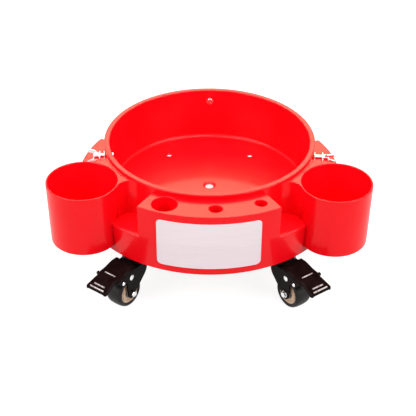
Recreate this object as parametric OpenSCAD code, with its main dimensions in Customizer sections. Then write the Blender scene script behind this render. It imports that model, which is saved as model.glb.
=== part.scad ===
// Rolling dolly for a car wash bucket: a shallow round tub that takes the bucket, two side
// cups, a front tool rack, three clamp screws and five swivel casters, the front two braked.
// Origin: centre of the tub floor's top face. +Z up, front of the dolly towards -Y.
// Units: millimetres.

/* [Tub] */
// Inner radius of the tub
tub_inner_r = 155; // [150:1:158]
// Thickness of the tub wall
tub_wall = 5; // [4:0.5:7]
// Depth of the tub, from its floor to its rim
tub_depth = 87; // [80:1:120]
// Thickness of the tub floor
floor_t = 3; // [2.5:0.5:6]
// How far the rim's lip stands out from the wall
lip_out = 3.5; // [2:0.5:6]
// Height of the rim's lip
lip_h = 4; // [3:0.5:8]
// Radius of the fillet between wall and floor
floor_fillet = 6; // [3:0.5:12]
// Distance of the outer drain holes from the tub's wall
drain_in = 41.5; // [30:0.5:60]
// Radius of each outer drain hole
drain_r = 4; // [3:0.25:6]
// Radius of the drain hole in the middle
centre_drain_r = 6.4; // [5:0.1:8]
// Thickness of the ribs under the floor
rib_t = 3; // [2:0.5:5]

/* [Base] */
// How far the base reaches below the tub floor's top face
base_drop = 27; // [24:0.5:34]
// Width of the ledge around the tub
ledge_w = 46.5; // [44:0.5:52]
// How much the base's outer radius shrinks from its ledge to its bottom edge
base_taper = 5; // [0:0.5:8]
// Height of the ledge above the tub floor
ledge_z = 27; // [15:0.5:32]
// Radius of the ledge's rounded outer edge
ledge_round = 4; // [2:0.5:6]
// Wall thickness of the base and the tool rack
shell_t = 3; // [2:0.5:4]
// Thickness of the caster pads
pad_t = 12; // [9:0.5:16]
// Half of the angle that each caster pad spans
pad_half_angle = 10.7; // [10.4:0.1:11]

/* [Tool rack] */
// Half of the angle that the rack spans
rack_half_angle = 30; // [28:0.5:32]
// How far the rack's top lies below the tub's lip
rack_step = 4; // [1:0.5:10]
// How far the rack's top stands out past the ledge
rack_lean = 2; // [0:0.5:6]
// How far outside the middle of the rack's width the tool sockets lie
socket_off = 1.2; // [0:0.1:2]
// Radius of the left, large socket
socket_left_r = 19; // [15:0.5:19.5]
// Radius of the middle socket
socket_middle_r = 10; // [7:0.5:14]
// Radius of the right, small socket
socket_right_r = 9; // [6:0.5:12]
// Wall thickness of a socket
socket_wall = 2.5; // [1.5:0.5:3]

/* [Cups] */
// Angle of each cup's axis in front of the X axis
cup_az = 32.44; // [31:0.01:34]
// Gap between the tub's wall and a cup's rim
cup_gap = 7.7; // [5:0.1:12]
// Outer radius of a cup at its rim
cup_rim_r = 54.1; // [50:0.1:56]
// How much a cup's outer radius shrinks from its rim to its foot
cup_taper = 2.7; // [0:0.1:6]
// How far the cups' rims lie below the tub's lip
cup_step = 0; // [0:0.5:12]
// How far a cup's foot reaches below the tub floor's top face
cup_drop = 17; // [12:0.5:20]
// Wall thickness of a cup
cup_wall = 2.6; // [2:0.2:4]
// Radius of the fillets between a cup and the tub
neck_fillet = 20; // [12:0.5:26]

/* [Label] */
// Half of the angle that the label spans
label_half_angle = 21.6; // [16:0.1:26]
// Height of the label
label_h = 82; // [50:1:88]
// Height of the label's lower edge above the base's bottom
label_lift = 12; // [8:0.5:16]
// Radius of the label's corners
label_corner = 7; // [3:0.5:12]
// Thickness of the label
label_t = 0.8; // [0.5:0.1:1.5]

/* [Clamp screws] */
// Depth of the clamp screws below the rim
clamp_depth = 20; // [17:0.5:30]
// Angle of the side screws in front of the X axis
clamp_az = 7.5; // [0:0.5:10]
// Radius of a clamp screw's shaft
clamp_r = 4; // [3:0.5:5]
// Radius of the boss around each screw
clamp_boss_r = 10; // [9:0.5:12]
// Length of shaft from its tip to the flange
clamp_len = 20; // [18:0.5:26]
// Radius of a clamp screw's flange
clamp_flange_r = 8; // [6.5:0.5:9]
// Half of the span of the wings
wing_span_r = 12; // [10:0.5:16]
// How far the left screw is turned in, past its tip being flush
clamp_left_in = 5; // [0:0.5:8]

/* [Casters] */
// How far outside the middle of the base's underside the swivel axes lie
swivel_off = 0.2; // [0:0.1:2]
// Wheel diameter
wheel_d = 50.8; // [46:0.2:54]
// Width of the tread
wheel_w = 28; // [22:0.5:30]
// Distance of the axle from the swivel axis
trail = 29; // [26:0.5:31]
// Height of the axle below the base's bottom
axle_drop = 54; // [52:0.5:62]
// Width of the base's underside left bare at each side of a top plate
plate_margin = 3.7; // [3:0.1:6]
// Size of the top plate across the radius
plate_y = 58; // [54:0.5:60]
// Thickness of the top plate
plate_t = 2.5; // [2:0.25:3]
// Outer radius of the ball race
race_r = 19; // [17:0.5:19.5]
// Radius of the king pin
kingpin_r = 5; // [4:0.25:6]
// Thickness of the fork's steel
fork_t = 2.5; // [2:0.25:3]
// Radius of the axle bolt
axle_r = 3; // [2.5:0.25:3.5]
// Radius of the wheel's bearings
bearing_r = 9.5; // [8.5:0.25:10.5]
// Angle of each front caster round from the middle of the front
front_az = 38; // [36:0.5:39]
// How far each front caster is turned in towards the front
front_turn = 1; // [0:0.5:12]

/* [Brakes] */
// Length of the pedal from the swivel axis to its tip
pedal_reach = 90.5; // [84:0.5:95]
// Half of the pedal's width at its tip
pedal_tip_half = 20; // [17:0.5:22]
// Thickness of the pedal's steel
pedal_t = 2; // [1.5:0.25:2.5]
// Radius of the pedal's hinge pin
brake_pin_r = 2.5; // [2:0.25:3]

/* [Clearances] */
// Gap between moulded pieces that seat on one another sideways
seat_gap = 0.1; // [0.05:0.05:0.3]
// Radial clearance of a running fit
run_gap = 0.05; // [0.02:0.01:0.1]
// Gap between pieces that pass one another
pass_gap = 0.4; // [0.3:0.05:0.6]

/* [Hidden] */
$fn = 96;
eps = 0.01;
red = [0.86, 0.04, 0.05];
black = [0.05, 0.05, 0.05];

tub_outer_r = tub_inner_r + tub_wall;
lip_z = tub_depth - lip_h;
rack_z = lip_z - rack_step;
cup_rim_z = lip_z - cup_step;
socket_r = [socket_left_r, socket_middle_r, socket_right_r];
socket_az = [-110.3, -87.1, -66.3];
lip_r = tub_outer_r + lip_out;
drain_ring_r = tub_inner_r - drain_in;
base_z = -base_drop;
skirt_t = tub_wall - 1;
rib_z = base_z + 9;
rib_in_r = 40;
base_in_r = tub_outer_r + seat_gap;
ledge_r = tub_outer_r + ledge_w;
base_bottom_r = ledge_r - base_taper;
end_wall = 1;                       // angle of the wall that closes a hollow's end
rack_top_r = ledge_r + rack_lean;
socket_ring_r = (base_in_r + rack_top_r) / 2 + socket_off;
clamp_z = tub_depth - clamp_depth;
cup_foot_z = -cup_drop;
cup_h = cup_rim_z + cup_drop;
cup_foot_r = cup_rim_r - cup_taper;
cup_d = tub_outer_r + cup_gap + cup_rim_r;
cup_x = cup_d * cos(cup_az);
cup_y = cup_d * sin(cup_az);

// Casters: the first two at the front, the others 72 degrees apart.
CASTERS = ["front_left", "front_right", "side_right", "back", "side_left"];
caster_az = [-90 - front_az, -90 + front_az, 18, 90, 162];
caster_turn = [front_turn, -front_turn, 0, 0, 0];
swivel_r = (base_in_r + base_bottom_r) / 2 + swivel_off;
plate_x = base_bottom_r - base_in_r - 2 * plate_margin;
wheel_r = wheel_d / 2;
half_w = wheel_w / 2;
leg_end = trail + 10;
boss_r = 8.5;
nut_r = 4.8;
tyre_t = 7.4;
ring_w = 4.2;
leg_in = half_w + 1.5;              // inner face of a fork leg, from the wheel's middle
leg_out = leg_in + fork_t;
race_z = -plate_t;                  // stack below the base, in the caster's own heights
race_h = 5.5;
ball_r = 2;
ball_ring_r = race_r - 4.5;
fork_top = race_z - race_h - 0.6;
lower_race_h = 3;
crown_z = fork_top - lower_race_h;
kingpin_head_r = kingpin_r + 3;
plate_hole = [plate_x / 2 - 5.5, plate_y / 2 - 6];
screw_r = 2;
screw_len = 10;
screw_head_t = 1.4;
screw_gap = 0.05;

// Brake, in the caster's own frame: X outwards along the trail, Z up from the base's bottom.
brake_pin = [trail + 4, -axle_drop + 33];
cheek_in = leg_out + pass_gap;
cheek_out = cheek_in + pedal_t;
pedal_start = race_r + 3;
pedal_bend = trail + 19;
cheek_end = trail + 34;
rib_x = [cheek_end - 6, pedal_reach - 9.5, pedal_reach - 3.5];
rib_half = [10, 10, 13];
shoe_x = trail + 14;
pedal_top = [[pedal_start, crown_z + 5], [trail + 3, crown_z + 5.4], [pedal_bend, crown_z + 1.8],
             [cheek_end + 1, crown_z + 0.8], [pedal_reach, crown_z - 7.6]];
shoe_gap = 3.2;

// Clamp screws: direction, radius of the tip, and name.
CLAMPS = ["left", "right", "back"];
clamp_dir = [180 + clamp_az, -clamp_az, 90];
clamp_tip_r = [tub_inner_r - clamp_left_in, tub_inner_r, tub_inner_r];
boss_out_r = tub_outer_r + lip_out;
insert_wall = 2;
insert_set_back = 1;
insert_r = clamp_r + insert_wall;
insert_flange_out = 1.5;
insert_flange_r = insert_r + insert_flange_out;
insert_flange_t = 1.2;
flange_t = 3;
hub_r = clamp_r + 1;
hub_len = 8;
wing_t = 2.6;
wing_out = 20;

SIDES = ["left", "right"];
MOULDINGS = ["tub", "base", "back_pod", "tool_rack", "label_plate"];

// Radius of the outer skin of base and rack at height z.
function skin_r(z) = z <= ledge_z
    ? base_bottom_r + (ledge_r - base_bottom_r) * (z - base_z) / (ledge_z - base_z)
    : ledge_r + (rack_top_r - ledge_r) * (z - ledge_z) / (rack_z - ledge_z);

// A profile in (radius, height) turned about Z from one direction to another.
module sector(from, to) {
    rotate([0, 0, from]) rotate_extrude(angle = to - from, $fn = 180) children();
}

module at_az(az, r = 0, z = 0) {
    rotate([0, 0, az]) translate([r, 0, z]) children();
}

// Caster frames: fixed to the base, and turned with the fork.
module at_plate(i) {
    at_az(caster_az[i], swivel_r, base_z) children();
}

module at_fork(i) {
    at_plate(i) rotate([0, 0, caster_turn[i]]) children();
}

module at_cup(side) {
    translate([side * cup_x, -cup_y, 0]) children();
}

// A clamp screw's frame: X along the screw from its tip outwards.
module at_clamp(i, r) {
    at_az(clamp_dir[i], r, clamp_z) rotate([0, 90, 0]) children();
}

// A flat rectangle with round corners, centred.
module round_rect(x, y, r) {
    square([x - 2 * r, y], center = true);
    square([x, y - 2 * r], center = true);
    for (sx = [-1, 1], sy = [-1, 1])
        translate([sx * (x / 2 - r), sy * (y / 2 - r)]) circle(r = r, $fn = 48);
}

// ---------------------------------------------------------------- moulded pieces

// Points of an arc in a profile, from one direction to another.
function arc(centre, r, from, to, step) =
    [for (a = [from : (to > from ? step : -step) : to]) centre + r * [cos(a), sin(a)]];

module tub_profile() {
    in_edge = 1;
    out_edge = 1.6;
    polygon(concat(
        [[0, -floor_t], [0, 0]],
        arc([tub_inner_r - floor_fillet, floor_fillet], floor_fillet, 270, 360, 15),
        arc([tub_inner_r + in_edge, tub_depth - in_edge], in_edge, 180, 90, 30),
        arc([lip_r - out_edge, tub_depth - out_edge], out_edge, 90, 0, 22.5),
        [[lip_r, lip_z], [tub_outer_r, lip_z], [tub_outer_r, base_z],
         [tub_outer_r - skirt_t, base_z], [tub_outer_r - skirt_t, -floor_t]]));
}

module tub() {
    color(red) difference() {
        union() {
            rotate_extrude($fn = 180) tub_profile();
            for (k = [0:4]) at_az(72 * k + 18)
                translate([rib_in_r, -rib_t / 2, rib_z])
                    cube([tub_outer_r - 1 - rib_in_r, rib_t, -floor_t / 2 - rib_z]);
            for (i = [0:2]) at_clamp(i, tub_outer_r - 2)
                cylinder(r = clamp_boss_r, h = boss_out_r - tub_outer_r + 2);
        }
        translate([0, 0, -floor_t - 1]) cylinder(r = centre_drain_r, h = floor_t + 2);
        for (k = [0:4]) at_az(72 * k - 18, drain_ring_r, -floor_t - 1)
            cylinder(r = drain_r, h = floor_t + 2);
        for (i = [0:2]) at_clamp(i, tub_inner_r - 10)
            cylinder(r = insert_r + screw_gap, h = tub_wall + lip_out + 20);
    }
}

// The ledge's rounded outer edge, from its top to its side.
ledge_edge = arc([skin_r(ledge_z - ledge_round) - ledge_round, ledge_z - ledge_round],
                 ledge_round, 90, 0, 15);

module base_outline() {
    polygon(concat([[base_bottom_r, base_z], [base_in_r, base_z], [base_in_r, ledge_z]], ledge_edge));
}

// The hollow inside the base's section, open below.
module base_hollow() {
    polygon([[base_in_r + shell_t, base_z - 1], [base_bottom_r - shell_t, base_z - 1],
             [ledge_r - shell_t - ledge_round / 2, ledge_z - shell_t - ledge_round / 2],
             [ledge_r - shell_t - ledge_round, ledge_z - shell_t],
             [base_in_r + shell_t, ledge_z - shell_t]]);
}

// A rib across the hollow, from mid-wall to mid-wall.
module base_rib(az) {
    half = shell_t / 2 / base_in_r * 180 / PI;
    margin = shell_t / 2;
    sector(az - half, az + half) translate([base_in_r + margin, base_z + 1])
        square([base_bottom_r - base_in_r - 2 * margin, base_drop + ledge_z - ledge_round - 1]);
}

// The solid that a cup fills, grown by a gap.
module cup_body(gap) {
    translate([0, 0, cup_foot_z - gap])
        cylinder(r1 = cup_foot_r + gap, r2 = cup_rim_r + gap, h = cup_h + gap);
}

// The straight pocket that a cup drops into, where its taper just fits the ledge.
module cup_pocket() {
    ledge_fit_r = cup_foot_r + (cup_rim_r - cup_foot_r) * (ledge_z - cup_foot_z) / cup_h;
    translate([0, 0, cup_foot_z - seat_gap])
        cylinder(r = ledge_fit_r + seat_gap, h = cup_drop + seat_gap + ledge_z + 1);
}

module base() {
    end = caster_az[2] + pad_half_angle;
    color(red) difference() {
        union() {
            difference() {
                sector(180 - end, 360 + end) base_outline();
                sector(180 - end + end_wall, 360 + end - end_wall) base_hollow();
            }
            for (k = [-1:1]) base_rib(-90 + k * rack_half_angle / 2);
        }
        for (side = [-1, 1]) at_cup(side) cup_pocket();
    }
}

module back_pod() {
    az = caster_az[3];
    color(red) difference() {
        sector(az - pad_half_angle, az + pad_half_angle) base_outline();
        sector(az - pad_half_angle + end_wall, az + pad_half_angle - end_wall) base_hollow();
    }
}

// Solid blocks inside the base and the back pod that take the casters' screws.
module caster_mounts() {
    half = pad_half_angle - end_wall - 0.1;
    in_r = base_in_r + shell_t + seat_gap;
    out_r = base_bottom_r - shell_t - seat_gap;
    color(red) difference() {
        for (az = caster_az) sector(az - half, az + half)
            translate([in_r, base_z]) square([out_r - in_r, pad_t]);
        for (i = [0:4], sx = [-1, 1], sy = [-1, 1])
            at_plate(i) translate([sx * plate_hole[0], sy * plate_hole[1], -1])
                cylinder(r = screw_r + screw_gap, h = screw_len - plate_t + 1.6);
        for (side = [-1, 1]) at_cup(side) cup_pocket();
    }
}

module rack_outline() {
    polygon(concat([[base_in_r, ledge_z]], ledge_edge,
                   [[skin_r(ledge_z), ledge_z], [rack_top_r, rack_z], [base_in_r, rack_z]]));
}

module rack_hollow() {
    polygon([[base_in_r + shell_t, ledge_z - 1], [ledge_r - shell_t - ledge_round, ledge_z - 1],
             [ledge_r - shell_t, ledge_z + 2], [rack_top_r - shell_t, rack_z - shell_t],
             [base_in_r + shell_t, rack_z - shell_t]]);
}

// The rack's block above the base, hollow from below, with its closed sockets.
module tool_rack() {
    half = rack_half_angle;
    margin = shell_t / 2;
    color(red) difference() {
        union() {
            difference() {
                sector(-90 - half, -90 + half) rack_outline();
                sector(-90 - half + end_wall, -90 + half - end_wall) rack_hollow();
            }
            for (i = [0:2]) intersection() {
                at_az(socket_az[i], socket_ring_r, ledge_z)
                    cylinder(r = socket_r[i] + socket_wall, h = rack_z - ledge_z - margin);
                sector(-92 - half, -88 + half) translate([base_in_r + margin, ledge_z])
                    square([ledge_r - base_in_r - 2 * margin, rack_z - ledge_z]);
            }
        }
        for (i = [0:2]) at_az(socket_az[i], socket_ring_r, ledge_z + shell_t)
            cylinder(r = socket_r[i], h = rack_z - ledge_z);
    }
}

// The label, bent round the skin of base and rack.
module label_plate() {
    z0 = base_z + label_lift;
    z1 = z0 + label_h;
    gap = seat_gap / 2;
    w = 2 * ledge_r * sin(label_half_angle);
    color([0.85, 0.82, 0.83]) intersection() {
        sector(-90 - label_half_angle - 4, -90 + label_half_angle + 4)
            polygon([[skin_r(z0) + gap, z0], [skin_r(z0) + gap + label_t, z0],
                     [skin_r(ledge_z) + gap + label_t, ledge_z], [skin_r(z1) + gap + label_t, z1],
                     [skin_r(z1) + gap, z1], [skin_r(ledge_z) + gap, ledge_z]]);
        translate([0, -ledge_r / 2, (z0 + z1) / 2]) rotate([90, 0, 0])
            linear_extrude(height = ledge_r) round_rect(w, label_h, label_corner);
    }
}

module cup(side) {
    color(red) at_cup(side) difference() {
        union() {
            cup_body(0);
        }
        translate([0, 0, cup_foot_z + cup_wall + 0.4])
            cylinder(r1 = cup_foot_r - cup_wall, r2 = cup_rim_r - cup_wall, h = cup_h);
        difference() {
            translate([0, 0, cup_foot_z - 1]) cylinder(r = cup_foot_r + 1, h = 4);
            translate([0, 0, cup_foot_z - 1]) cylinder(r1 = cup_foot_r - 4, r2 = cup_foot_r + 1, h = 4.5);
        }
    }
}

// The neck joins a cup to the tub above the ledge. Its sides are fillets that touch both.
module neck(side) {
    to_tub = tub_outer_r + neck_fillet;
    to_cup = cup_rim_r + neck_fillet;
    along = (to_tub * to_tub - to_cup * to_cup + cup_d * cup_d) / (2 * cup_d);
    across = sqrt(to_tub * to_tub - along * along);
    color(red) mirror([side < 0 ? 1 : 0, 0, 0]) difference() {
        rotate([0, 0, -cup_az]) translate([0, 0, ledge_z]) linear_extrude(height = cup_rim_z - ledge_z)
            difference() {
                polygon([[0, 0], [along, -across], [cup_d, 0], [along, across]]);
                circle(r = base_in_r, $fn = 180);
                for (s = [-1, 1]) translate([along, s * across]) circle(r = neck_fillet);
            }
        at_cup(1) cup_body(seat_gap);
    }
}

// ---------------------------------------------------------------- clamp screws

// Threaded steel inserts, pressed into the tub's bosses from outside.
module clamp_inserts() {
    color("silver") for (i = [0:2]) difference() {
        union() {
            at_clamp(i, tub_inner_r + insert_set_back)
                cylinder(r = insert_r, h = boss_out_r - tub_inner_r - insert_set_back);
            at_clamp(i, boss_out_r) cylinder(r = insert_flange_r, h = insert_flange_t);
        }
        at_clamp(i, tub_inner_r - 5) cylinder(r = clamp_r + run_gap, h = 30);
    }
}

module wing() {
    linear_extrude(height = wing_t, center = true)
        polygon([[hub_r - 2, flange_t], [hub_r + 2, flange_t + 1], [wing_span_r, wing_out - 8],
                 [wing_span_r, wing_out - 2], [wing_span_r - 2, wing_out],
                 [wing_span_r - 5, wing_out - 2], [hub_r - 2, flange_t + hub_len - 1]]);
}

module clamp_screw(i) {
    color("silver") at_clamp(i, clamp_tip_r[i]) {
        cylinder(r = clamp_r, h = clamp_len + eps);
        translate([0, 0, clamp_len]) {
            cylinder(r = clamp_flange_r, h = flange_t);
            cylinder(r = hub_r, h = flange_t + hub_len);
            rotate([0, 0, 30]) for (s = [0, 180]) rotate([0, 0, s]) rotate([90, 0, 0]) wing();
        }
    }
}

// ---------------------------------------------------------------- casters

module caster_screws() {
    color("silver") for (i = [0:4], sx = [-1, 1], sy = [-1, 1])
        at_plate(i) translate([sx * plate_hole[0], sy * plate_hole[1], 0]) {
            translate([0, 0, -plate_t]) cylinder(r = screw_r, h = screw_len, $fn = 24);
            translate([0, 0, -plate_t - screw_head_t])
                cylinder(r = screw_r + 1.8, h = screw_head_t, $fn = 24);
        }
}

module plate(i) {
    color(black) at_plate(i) translate([0, 0, -plate_t]) difference() {
        linear_extrude(height = plate_t) round_rect(plate_x, plate_y, 5);
        translate([0, 0, -1]) cylinder(r = kingpin_r + run_gap, h = plate_t + 2);
        for (sx = [-1, 1], sy = [-1, 1])
            translate([sx * plate_hole[0], sy * plate_hole[1], -1])
                cylinder(r = screw_r + screw_gap, h = plate_t + 2, $fn = 24);
    }
}

// Upper half of the ball race, seated under the plate.
module race(i) {
    color(black) at_plate(i) difference() {
        rotate_extrude() difference() {
            polygon([[kingpin_r + run_gap, race_z - 3], [kingpin_r + run_gap, race_z],
                     [race_r - 2, race_z], [race_r, race_z - 2], [race_r, race_z - race_h],
                     [race_r - 1.5, race_z - race_h], [race_r - 1.5, race_z - 3]]);
            translate([ball_ring_r, race_z - 3 - ball_r]) circle(r = ball_r + run_gap, $fn = 32);
        }
    }
}

module swivel_balls() {
    color("silver") for (i = [0:4]) at_plate(i) for (k = [0:9])
        rotate([0, 0, 36 * k]) translate([ball_ring_r, 0, race_z - 3 - ball_r + run_gap])
            sphere(r = ball_r, $fn = 24);
}

module king_pin(i) {
    color("silver") at_plate(i) {
        translate([0, 0, crown_z - fork_t - 0.5]) cylinder(r = kingpin_r, h = -crown_z + fork_t + 0.5);
        translate([0, 0, crown_z - fork_t - 3.3]) cylinder(r = kingpin_head_r, h = 3);
    }
}

// Outline of a fork leg, seen along the axle: X outwards, Y up.
module leg_outline() {
    polygon([[-13, crown_z], [-14, crown_z - 4], [-12, crown_z - 9], [-6.5, crown_z - 16],
             [trail - 27, -axle_drop + 17.5], [trail - 17.5, -axle_drop + 7.5],
             [trail - boss_r, -axle_drop], [trail + boss_r, -axle_drop],
             [leg_end - 0.5, -axle_drop + 12], [leg_end, crown_z - 12], [leg_end, crown_z]]);
    translate([trail, -axle_drop]) circle(r = boss_r, $fn = 48);
}

module fork(i) {
    braked = i < 2;
    ball_z = race_z - 3 - ball_r;
    color(black) at_fork(i) difference() {
        union() {
            // Lower half of the race, up inside the upper half's rim.
            rotate_extrude() difference() {
                polygon([[kingpin_r + run_gap, crown_z], [race_r + 1, crown_z], [race_r + 1, fork_top],
                         [race_r - 2, fork_top], [race_r - 2, ball_z - 0.5],
                         [kingpin_r + 3, ball_z - 0.5], [kingpin_r + 3, fork_top],
                         [kingpin_r + run_gap, fork_top]]);
                translate([ball_ring_r, ball_z]) circle(r = ball_r + run_gap, $fn = 32);
            }
            // Crown.
            translate([0, 0, crown_z - fork_t]) linear_extrude(height = fork_t) {
                circle(r = leg_out);
                translate([0, -leg_out]) square([leg_end, 2 * leg_out]);
            }
            // Legs.
            for (s = [-1, 1]) translate([0, s > 0 ? leg_out : -leg_in, 0]) rotate([90, 0, 0])
                linear_extrude(height = fork_t) difference() {
                    leg_outline();
                    translate([trail, -axle_drop]) circle(r = axle_r + run_gap);
                }
        }
        translate([0, 0, crown_z - fork_t - 1]) cylinder(r = kingpin_r + run_gap, h = 20);
        // Hinge holes of the pedal.
        if (braked) translate([brake_pin[0], 0, brake_pin[1]]) rotate([90, 0, 0])
            cylinder(r = brake_pin_r + screw_gap, h = 3 * leg_out, center = true);
    }
}

// Axle bolt, its nut, and a spacer bush on each side of the wheel.
module axle(i) {
    color("silver") at_fork(i) translate([trail, 0, -axle_drop]) rotate([90, 0, 0]) {
        cylinder(r = axle_r, h = 2 * leg_out + 7, center = true);
        translate([0, 0, leg_out]) cylinder(r = nut_r, h = 3.6, $fn = 6);
        translate([0, 0, -leg_out - 4.6]) cylinder(r = nut_r, h = 4.6, $fn = 6);
        for (s = [-1, 1]) translate([0, 0, s > 0 ? half_w - 2 + pass_gap / 2 : -leg_in])
            cylinder(r = 4.6, h = leg_in - half_w + 2 - pass_gap / 2);
    }
}

module tyre(i) {
    tread_in = wheel_r - tyre_t;
    color([0.04, 0.04, 0.045]) at_fork(i) translate([trail, 0, -axle_drop]) rotate([90, 0, 0])
        rotate_extrude() polygon([[tread_in, -half_w + 1.5], [wheel_r - 4, -half_w], [wheel_r - 1.5, -half_w + 2],
                                  [wheel_r - 0.3, -half_w + 6], [wheel_r, 0], [wheel_r - 0.3, half_w - 6],
                                  [wheel_r - 1.5, half_w - 2], [wheel_r - 4, half_w], [tread_in, half_w - 1.5]]);
}

module hub(i) {
    rim_r = wheel_r - tyre_t;
    color([0.72, 0.52, 0.3]) at_fork(i) translate([trail, 0, -axle_drop]) rotate([90, 0, 0])
        rotate_extrude() polygon([[bearing_r + 0.02, -half_w + 8], [bearing_r + 0.02, -half_w + 2],
                                  [bearing_r + 1, -half_w + 2], [rim_r - ring_w - 1, -half_w + 3],
                                  [rim_r - ring_w, -half_w + 1.5], [rim_r, -half_w + 1.5],
                                  [rim_r, half_w - 1.5], [rim_r - ring_w, half_w - 1.5],
                                  [rim_r - ring_w - 1, half_w - 3], [bearing_r + 1, half_w - 2],
                                  [bearing_r + 0.02, half_w - 2], [bearing_r + 0.02, half_w - 8],
                                  [bearing_r - 2, half_w - 8], [bearing_r - 2, -half_w + 8]]);
}

module bearings(i) {
    color("silver") at_fork(i) translate([trail, 0, -axle_drop]) rotate([90, 0, 0])
        for (s = [-1, 1]) translate([0, 0, s * (half_w - 5)]) difference() {
            cylinder(r = bearing_r, h = 6, center = true);
            cylinder(r = axle_r + run_gap, h = 8, center = true);
        }
}

// ---------------------------------------------------------------- brakes

// Height of the pedal's top sheet at a reach of x: flat over the fork, then bent down.
function pedal_z(x) = lookup(x, pedal_top);

module pedal_sheet() {
    below = [for (p = pedal_top) p - [0, pedal_t + (p[0] == pedal_reach ? 1 : 0)]];
    polygon(concat(pedal_top, [for (k = [4:-1:0]) below[k]]));
}

module cheek_outline() {
    low = brake_pin[1] - 6;
    polygon([[pedal_start, pedal_z(pedal_start)], pedal_top[1], [pedal_bend, pedal_z(pedal_bend)],
             [cheek_end, pedal_z(cheek_end)], [cheek_end, pedal_z(cheek_end) - 6],
             [pedal_bend + 5, low], [brake_pin[0] + 4, low], [brake_pin[0] - 4, low + 1],
             [pedal_start, low + 11]]);
}

module brake_pedal(i) {
    shoe_z = -axle_drop + sqrt(pow(wheel_r + shoe_gap, 2) - pow(shoe_x - trail, 2));
    color(black) at_fork(i) difference() {
        union() {
            intersection() {
                rotate([90, 0, 0]) linear_extrude(height = 2 * pedal_tip_half + 4, center = true)
                    pedal_sheet();
                translate([0, 0, -50]) linear_extrude(height = 60)
                    polygon([[0, -cheek_out], [cheek_end, -cheek_out], [cheek_end + 4, -cheek_out + 3],
                             [pedal_reach, -pedal_tip_half], [pedal_reach, pedal_tip_half],
                             [cheek_end + 4, cheek_out - 3], [cheek_end, cheek_out], [0, cheek_out]]);
            }
            // Cheeks outside the fork, each with a side lug and the head of the shoe's rivet.
            for (s = [-1, 1]) {
                translate([0, s > 0 ? cheek_out : -cheek_in, 0]) rotate([90, 0, 0])
                    linear_extrude(height = pedal_t) cheek_outline();
                translate([cheek_end - 4, s * (cheek_out + 0.5) - 1, pedal_z(cheek_end) - 5])
                    cube([4, 2, 4]);
                translate([shoe_x + 8, s * (cheek_out - 0.5), brake_pin[1] - 1]) rotate([90, 0, 0])
                    cylinder(r = 3, h = 3, center = true);
            }
            // Shoe, which the pedal presses on the tread.
            translate([shoe_x, -half_w + 1, shoe_z])
                cube([6, wheel_w - 2, pedal_z(shoe_x + 3) - 1 - shoe_z]);
            // Grip ribs across the pedal.
            for (k = [0:2]) translate([rib_x[k] - 0.8, -rib_half[k], pedal_z(rib_x[k] + 0.8) - 1])
                cube([1.6, 2 * rib_half[k], k > 0 ? 2.4 : 1.8]);
        }
        translate([brake_pin[0], 0, brake_pin[1]]) rotate([90, 0, 0])
            cylinder(r = brake_pin_r + run_gap, h = 3 * leg_out, center = true);
    }
}

module brake_pin(i) {
    color("silver") at_fork(i) translate([brake_pin[0], 0, brake_pin[1]]) rotate([90, 0, 0]) {
        cylinder(r = brake_pin_r, h = 2 * cheek_out + 0.6, center = true);
        for (s = [-1, 1]) translate([0, 0, s * (cheek_out + 1.05)])
            cylinder(r = brake_pin_r + 1.8, h = 1.5, center = true);
    }
}

// ---------------------------------------------------------------- nodes

tub();
base();
back_pod();
tool_rack();
label_plate();
for (k = [0, 1]) {
    cup(2 * k - 1);
    neck(2 * k - 1);
}
for (i = [0:2]) clamp_screw(i);
clamp_inserts();
caster_mounts();
caster_screws();
swivel_balls();
for (i = [0:4]) {
    plate(i);
    race(i);
    king_pin(i);
    fork(i);
    axle(i);
    tyre(i);
    hub(i);
    bearings(i);
}
for (i = [0, 1]) {
    brake_pedal(i);
    brake_pin(i);
}
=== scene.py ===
"""Looks of a rolling dolly for a car wash bucket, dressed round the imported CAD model.

Shapes are built in millimetres in the CAD frame (origin: centre of the tub floor's top face,
front towards -Y) and turned into metres when they become pieces.
"""
import math

import bmesh
import bpy
from mathutils import Matrix, Vector


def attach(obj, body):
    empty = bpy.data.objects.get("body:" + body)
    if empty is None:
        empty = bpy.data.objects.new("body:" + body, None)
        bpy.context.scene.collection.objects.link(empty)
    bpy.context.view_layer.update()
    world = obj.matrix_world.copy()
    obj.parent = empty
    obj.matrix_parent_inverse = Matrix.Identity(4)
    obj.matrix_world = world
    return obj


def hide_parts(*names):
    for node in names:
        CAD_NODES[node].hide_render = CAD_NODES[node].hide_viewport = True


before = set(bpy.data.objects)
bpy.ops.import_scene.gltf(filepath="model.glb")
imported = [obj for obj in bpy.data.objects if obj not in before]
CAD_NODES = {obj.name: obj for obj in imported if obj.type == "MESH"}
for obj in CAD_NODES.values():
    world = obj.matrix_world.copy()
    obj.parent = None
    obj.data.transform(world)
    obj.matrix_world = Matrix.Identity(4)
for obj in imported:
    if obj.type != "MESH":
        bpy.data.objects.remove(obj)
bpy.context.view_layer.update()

MM = 0.001

# ---------------------------------------- sizes, as in the part's source

SEAT_GAP, RUN_GAP, PASS_GAP = 0.1, 0.05, 0.4

TUB_IN, TUB_WALL, TUB_DEPTH, FLOOR_T, FLOOR_FILLET = 155.0, 5.0, 87.0, 3.0, 6.0
LIP_OUT, LIP_H = 3.5, 4.0
TUB_OUT = TUB_IN + TUB_WALL
SKIRT_IN = TUB_OUT - (TUB_WALL - 1)
LIP_R, LIP_Z = TUB_OUT + LIP_OUT, TUB_DEPTH - LIP_H
DRAIN_RING, DRAIN_R, CENTRE_R = TUB_IN - 41.5, 4.0, 6.4
RIB_T, RIB_IN = 3.0, 40.0

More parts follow.
